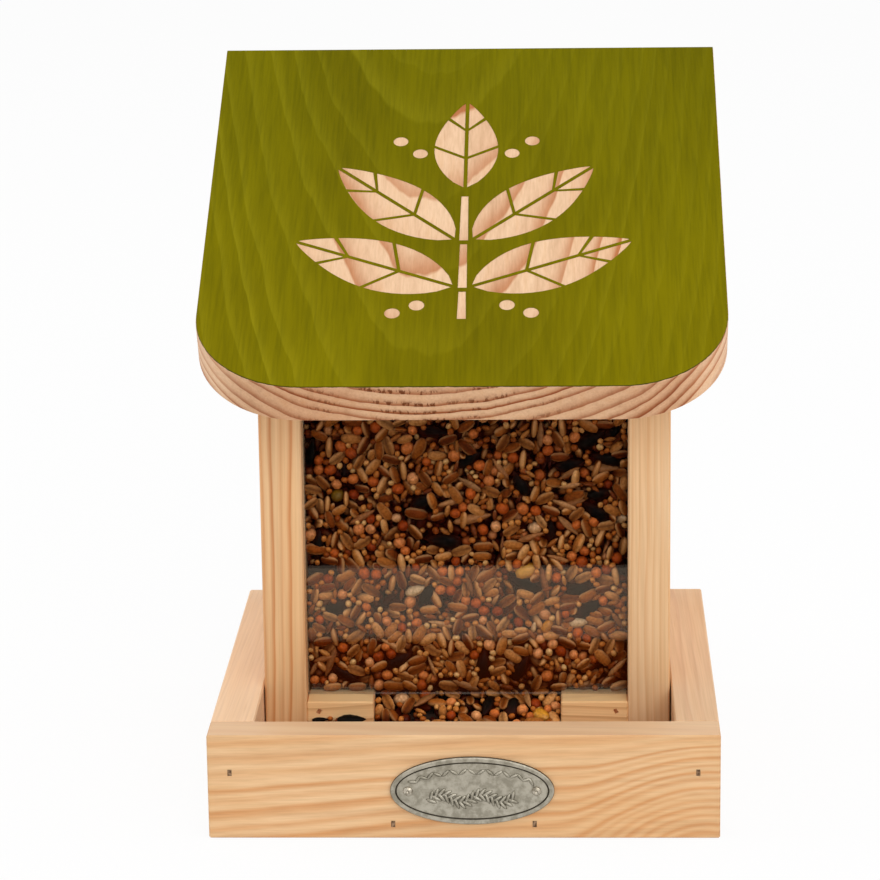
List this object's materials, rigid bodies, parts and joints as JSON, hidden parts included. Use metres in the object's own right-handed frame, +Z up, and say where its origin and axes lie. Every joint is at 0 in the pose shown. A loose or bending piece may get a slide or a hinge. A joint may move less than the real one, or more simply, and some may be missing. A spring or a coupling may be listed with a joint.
{
  "type": "silo bird feeder",
  "caption": "Pine silo bird feeder with a hinged sloping roof stained green, a clear sliding front pane, a seed-filled hopper and an open tray with a feeding trough.",
  "frame": {"origin": "middle of the underside of the tray, on the surface that the feeder stands on", "axes": "+Z up, -Y towards the front pane and the trough, +X to the right seen from the front"},
  "size_m": [0.176, 0.1734, 0.2401],
  "materials": {
    "pine": "bare planed pine",
    "green_stain": "olive-green stain",
    "clear_acrylic": "clear polished sheet",
    "pewter": "dull cast pewter grey",
    "nail_steel": "plain steel wire",
    "zinc_plate": "zinc plated",
    "mixed_seed": "dry mixed seed"
  },
  "bodies": {
    "feeder": {"floor_board": "pine", "front_rail": "pine", "left_rail": "pine", "right_rail": "pine", "left_wall": "pine", "right_wall": "pine", "back_board": "pine", "left_stop_block": "pine", "right_stop_block": "pine", "front_rail_brads": "nail_steel", "left_rail_brads": "nail_steel", "right_rail_brads": "nail_steel", "floor_brads": "nail_steel", "back_board_brads": "nail_steel", "stop_block_brads": "nail_steel", "plate_nails": "nail_steel", "left_hinge_lower_leaf": "zinc_plate", "right_hinge_lower_leaf": "zinc_plate", "left_hinge_pin": "zinc_plate", "right_hinge_pin": "zinc_plate", "lower_hinge_screws": "zinc_plate", "oval_plate": "pewter", "seed_fill": "mixed_seed"},
    "roof": {"roof_board": "green_stain", "upper_hinge_screws": "zinc_plate", "left_hinge_upper_leaf": "zinc_plate", "right_hinge_upper_leaf": "zinc_plate"},
    "pane": {"front_pane": "clear_acrylic"}
  },
  "joints": [
    {"name": "roof_hinge", "type": "hinge", "parent": "feeder", "child": "roof", "pos_m": [0, 0.0859, 0.22324], "axis": [-1, 0, 0], "range_deg": [0, 165]},
    {"name": "pane_lift", "type": "slide", "parent": "feeder", "child": "pane", "axis": [0, 0, 1], "range_m": [0, 0.002]}
  ]
}
